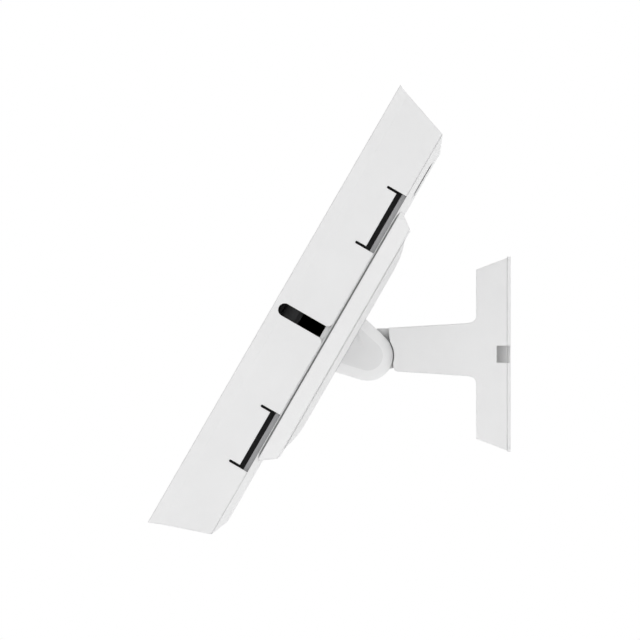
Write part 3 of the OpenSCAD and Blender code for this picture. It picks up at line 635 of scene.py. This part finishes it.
def ear_outline(inset):
    """The D, drawn inset from its edge, as arrays of back and up with a row for each inset.

    The round end is an arc about the bolt, and its radius is COVER_R less the inset. The straights touch
    it and spread by the flare: at the depth y they stand radius / cos(flare) - y tan(flare) from the middle.
    """
    radius = (COVER_R - inset)[:, None]
    turn = np.linspace(FLARE - math.pi / 2, math.pi / 2 - FLARE, END_POINTS)
    y_end, z_end = radius * np.cos(turn), radius * np.sin(turn)
    touch = radius * math.sin(FLARE)
    y_side = touch + (COVER_FOOT - touch) * np.linspace(0.0, 1.0, SIDE_POINTS + 1)[1:]
    z_side = radius / math.cos(FLARE) - y_side * math.tan(FLARE)
    z_foot = z_side[:, -1:] * np.linspace(1.0, -1.0, FOOT_POINTS + 2)[1:-1]
    y_foot = np.full_like(z_foot, COVER_FOOT)
    return (np.hstack([y_end, y_side, y_foot, y_side[:, ::-1]]),
            np.hstack([z_end, z_side, z_foot, -z_side[:, ::-1]]))


print("cover:", round(COVER_R * 2000, 2), "mm round end, foot at", round(COVER_FOOT * 1000, 2), "mm")

# %% Ear covers
BEVEL_WIDTH = 0.0045
BEVEL_RISE = 0.0026
FACE_MARGIN = 0.002          # from the bevel to the last ring of the face
BROW_SOFT, RIM_SOFT = 0.0009, 0.0004   # how far back the brow and the outer edge start to turn
HOLLOW_R = 0.0077            # room for the bolt's head
HOLLOW_DEPTH = 0.0037
PEG_R = 0.0012
PEG_AT = (-0.0055, 0.0090)   # back and up from the bolt
PEG_STEPS = ((-0.0030, 0.75), (-0.0027, 1.0), (0.0003, 1.0))   # past the cap's back, and share of PEG_R
PEG_POINTS = 24
AROUND = ear_outline(np.zeros(1))[0].shape[1]
BEVEL_ROWS = (3, 11)         # rows of faces from the middle of the brow to the end of the cheek


def circle(turn, x, radius, y=0.0, z=0.0):
    """A ring of points at x: y plus radius times cos(turn), z plus radius times sin(turn)."""
    return np.stack([np.full_like(turn, x), y + radius * np.cos(turn), z + radius * np.sin(turn)], -1)


def cover_skins(side):
    """The cap and its two pegs as skins, for the side +1 or -1 of the head.

    The cap is its profile at every point of the D: each row of the profile has an inset and an x.
    """
    face = (BEVEL_WIDTH + FACE_MARGIN, COVER_TOP)
    brow = (BEVEL_WIDTH, COVER_TOP)
    cheek = (0.0, COVER_TOP - BEVEL_RISE)
    rim = (0.0, COVER_BACK)
    profile = np.vstack([face, soft_corner(face, brow, cheek, BROW_SOFT),
                         soft_corner(brow, cheek, rim, RIM_SOFT), rim])
    y, z = ear_outline(profile[:, 0])
    shell = np.stack([np.broadcast_to(profile[:, 1:], y.shape), y, z], -1)
    turn = np.arctan2(z[-1], y[-1])
    hollow = np.stack([circle(turn, x, HOLLOW_R) for x in (COVER_BACK, COVER_BACK + HOLLOW_DEPTH)])
    around = np.linspace(0.0, 2 * math.pi, PEG_POINTS + 1)[:-1]
    pegs = [np.stack([circle(around, COVER_BACK + past, PEG_R * wide, PEG_AT[0], up * PEG_AT[1])
                      for past, wide in PEG_STEPS]) for up in (1, -1)]
    mirror = np.array([side, 1.0, 1.0])
    return [skin(rings * mirror) for rings in (np.vstack([shell, hollow]), *pegs)]


for side, node in ((1, "right_ear_cover"), (-1, "left_ear_cover")):
    cap = leaned_piece(node + "_moulded", cover_skins(side), HEAD_AT, white_plastic, "tilt_head")
    # the bevel rows get the lighter white, a painted highlight
    cap.data.materials.append(bevel_highlight_plastic)
    finish_index = np.zeros(len(cap.data.polygons), np.int32)
    finish_index[BEVEL_ROWS[0] * AROUND:BEVEL_ROWS[1] * AROUND] = 1
    cap.data.polygons.foreach_set("material_index", finish_index)
    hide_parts(node)

# %% [markdown]
# ## Foam behind the window
# A die-cut frame of foam lies on the inside of the shell and keeps the glass of the tablet off the steel.
# Foam has no sharp edges: its cut sides bulge a little, and its free face crowns between them. A solid box
# frame would show neither, so a small cushion of a section is carried once round the window, and it
# steps round the four bosses that take the case screws.

# %% Outline with round corners
CORNER_POINTS = 7            # between the two ends of a corner


def rounded_outline(half_x, half_z, corner, level, upright):
    """Across and up of a rectangle with round corners, once round from the lower right.

    upright and level run from -1 to 1 and place the points on the two kinds of straights, as shares of
    their half length. Each corner is a quarter circle. The second half is the first, turned half round.
    """
    x_in, z_in = half_x - corner, half_z - corner
    turn = np.linspace(0.0, math.pi / 2, CORNER_POINTS + 2)[1:-1]
    round_x, round_z = corner * np.cos(turn), corner * np.sin(turn)
    right = (np.full_like(upright, half_x), z_in * upright)
    upper_right = (x_in + round_x, z_in + round_z)
    top = (-x_in * level, np.full_like(level, half_z))
    upper_left = (-x_in - round_x[::-1], z_in + round_z[::-1])
    walk = np.array([np.concatenate(run) for run in zip(right, upper_right, top, upper_left)])
    return np.hstack([walk, -walk])


ends = np.array([-1.0, 1.0])
print("simplest outline:", rounded_outline(2.0, 1.0, 0.5, ends, ends).shape[1], "points")

# %% Bezel foam
foam_points = leaned_points("bezel_foam", CASE_AT)
FOAM_FRONT, FOAM_BACK = foam_points[:, 1].min(), foam_points[:, 1].max()
FOAM_HALF = foam_points[:, [0, 2]].max(0)
FOAM_CORNER = 0.014
OPENING_HALF = (0.1145, 0.0825)   # the window and 1.5 mm of shell on each side
OPENING_CORNER = 0.0065
BOSS_CLEAR = 0.0037          # radius of the bite round a boss
EDGE_R = 0.0007
CROWN = 0.00015
QUARTER = 5                  # points of a quarter circle in the section

screw_points = leaned_points("case_screws", CASE_AT)
upper_right_screw = screw_points[(screw_points[:, 0] > 0) & (screw_points[:, 2] > 0)]
boss_x, _, boss_z = (upper_right_screw.min(0) + upper_right_screw.max(0)) / 2

boss_share = boss_x / (FOAM_HALF[0] - FOAM_CORNER)
near_boss = np.linspace(-1.0, 1.0, 21) * BOSS_CLEAR / (FOAM_HALF[0] - FOAM_CORNER)
# Along the level straights the points are closer together beside a boss. There the outer edge dips to
# boss_z less the height of a circle of BOSS_CLEAR: its radius times the root of 1 - beside squared.
level = np.unique(np.concatenate([np.linspace(-1.0, 1.0, 41), boss_share + near_boss,
                                  -boss_share + near_boss]))
upright = np.linspace(-1.0, 1.0, 31)
hole = rounded_outline(*OPENING_HALF, OPENING_CORNER, level, upright)
edge = rounded_outline(*FOAM_HALF, FOAM_CORNER, level, upright)
beside = np.abs(np.abs(edge[0]) - boss_x) / BOSS_CLEAR
dip = boss_z - BOSS_CLEAR * np.sqrt(np.clip(1.0 - beside ** 2, 0.0, 1.0))
dips = (beside < 1.0) & (np.abs(edge[1]) > dip)
edge[1] = np.where(dips, np.sign(edge[1]) * dip, edge[1])


def foam_section(thick):
    """One turn round the strip: which edge a point belongs to, how far in from it, and its depth.

    Each of the four edges is a quarter circle of EDGE_R, and the free face rises by CROWN to its middle.
    """
    turn = np.linspace(0.0, math.pi / 2, QUARTER)
    inward = EDGE_R * (1 - np.sin(turn))
    depth = EDGE_R * (1 - np.cos(turn))
    low = thick - CROWN
    belongs = np.repeat([0.0, 0.0, 0.5, 1.0, 1.0], [QUARTER, QUARTER, 1, QUARTER, QUARTER])
    offset = np.concatenate([inward, inward[::-1], [0.0], -inward, -inward[::-1]])
    deep = np.concatenate([depth, low - depth[::-1], [thick], low - depth, depth[::-1]])
    return belongs, offset, deep


belongs, offset, deep = foam_section(FOAM_BACK - FOAM_FRONT)
run = edge - hole
width = np.hypot(*run)
reach = (belongs * width[:, None] + offset) / width[:, None]
strip = np.stack([hole[0][:, None] + run[0][:, None] * reach,
                  np.broadcast_to(FOAM_FRONT + deep, reach.shape),
                  hole[1][:, None] + run[1][:, None] * reach], -1)
bezel = leaned_piece("bezel_foam_strip", [skin(strip, endless=True)], CASE_AT, black_foam, "case")
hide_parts("bezel_foam")

# %% [markdown]
# ## Pads behind the tablet
# Four thin pads of the same foam are stuck to the tray, so that the tablet doesn't rattle. They are cut
# with a blade, which pinches their rim, and stay flat where the glue holds them. Rings of a shrinking
# outline give that: the height climbs steeply at the rim and is almost level further in.

# %% Cradle pads
PAD_CORNER = 0.003
TIGHTEST = 0.0006            # the smallest corner radius of a ring
PINCH = 0.0045               # width of the pinched rim
RIM_SHARE = 0.35             # thickness at the rim, as a share of the whole
GLUE_INSET = 0.0003
pad_points = leaned_points("cradle_pads", CASE_AT)
PAD_FACE, PAD_GLUE = pad_points[:, 1].min(), pad_points[:, 1].max()
upper_right_pad = pad_points[(pad_points[:, 0] > 0) & (pad_points[:, 2] > 0)]
pad_middle = (upper_right_pad.min(0) + upper_right_pad.max(0)) / 2
pad_half = (upper_right_pad.max(0) - upper_right_pad.min(0)) / 2
side_steps = np.linspace(-1.0, 1.0, 9)


def pad_ring(inset, y):
    """One ring of the pad at the depth y, its outline shrunk by inset."""
    x, z = rounded_outline(pad_half[0] - inset, pad_half[2] - inset, max(PAD_CORNER - inset, TIGHTEST),
                           side_steps, side_steps)
    return np.stack([x, np.full_like(x, y), z], -1)


# At t from 0 to 1 a ring lies PINCH t squared further in. Its height is RIM_SHARE of the thickness, plus
# the rest times the root of t (2 - t), which is a quarter circle.
t = np.linspace(0.0, 1.0, 9)
pad_insets = PINCH * t ** 2
pad_heights = (PAD_GLUE - PAD_FACE) * (RIM_SHARE + (1 - RIM_SHARE) * np.sqrt(t * (2 - t)))
pad = np.stack([pad_ring(GLUE_INSET, PAD_GLUE)] + [pad_ring(i, PAD_GLUE - h)
                                                   for i, h in zip(pad_insets, pad_heights)])
for x_side in (1, -1):
    for z_side in (1, -1):
        shift = np.array([x_side * pad_middle[0], 0.0, z_side * pad_middle[2]])
        name = "cradle_pad_" + {1: "right", -1: "left"}[x_side] + {1: "_upper", -1: "_lower"}[z_side]
        piece = leaned_piece(name, [skin(pad + shift)], CASE_AT, black_foam, "case")
        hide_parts("cradle_pads")
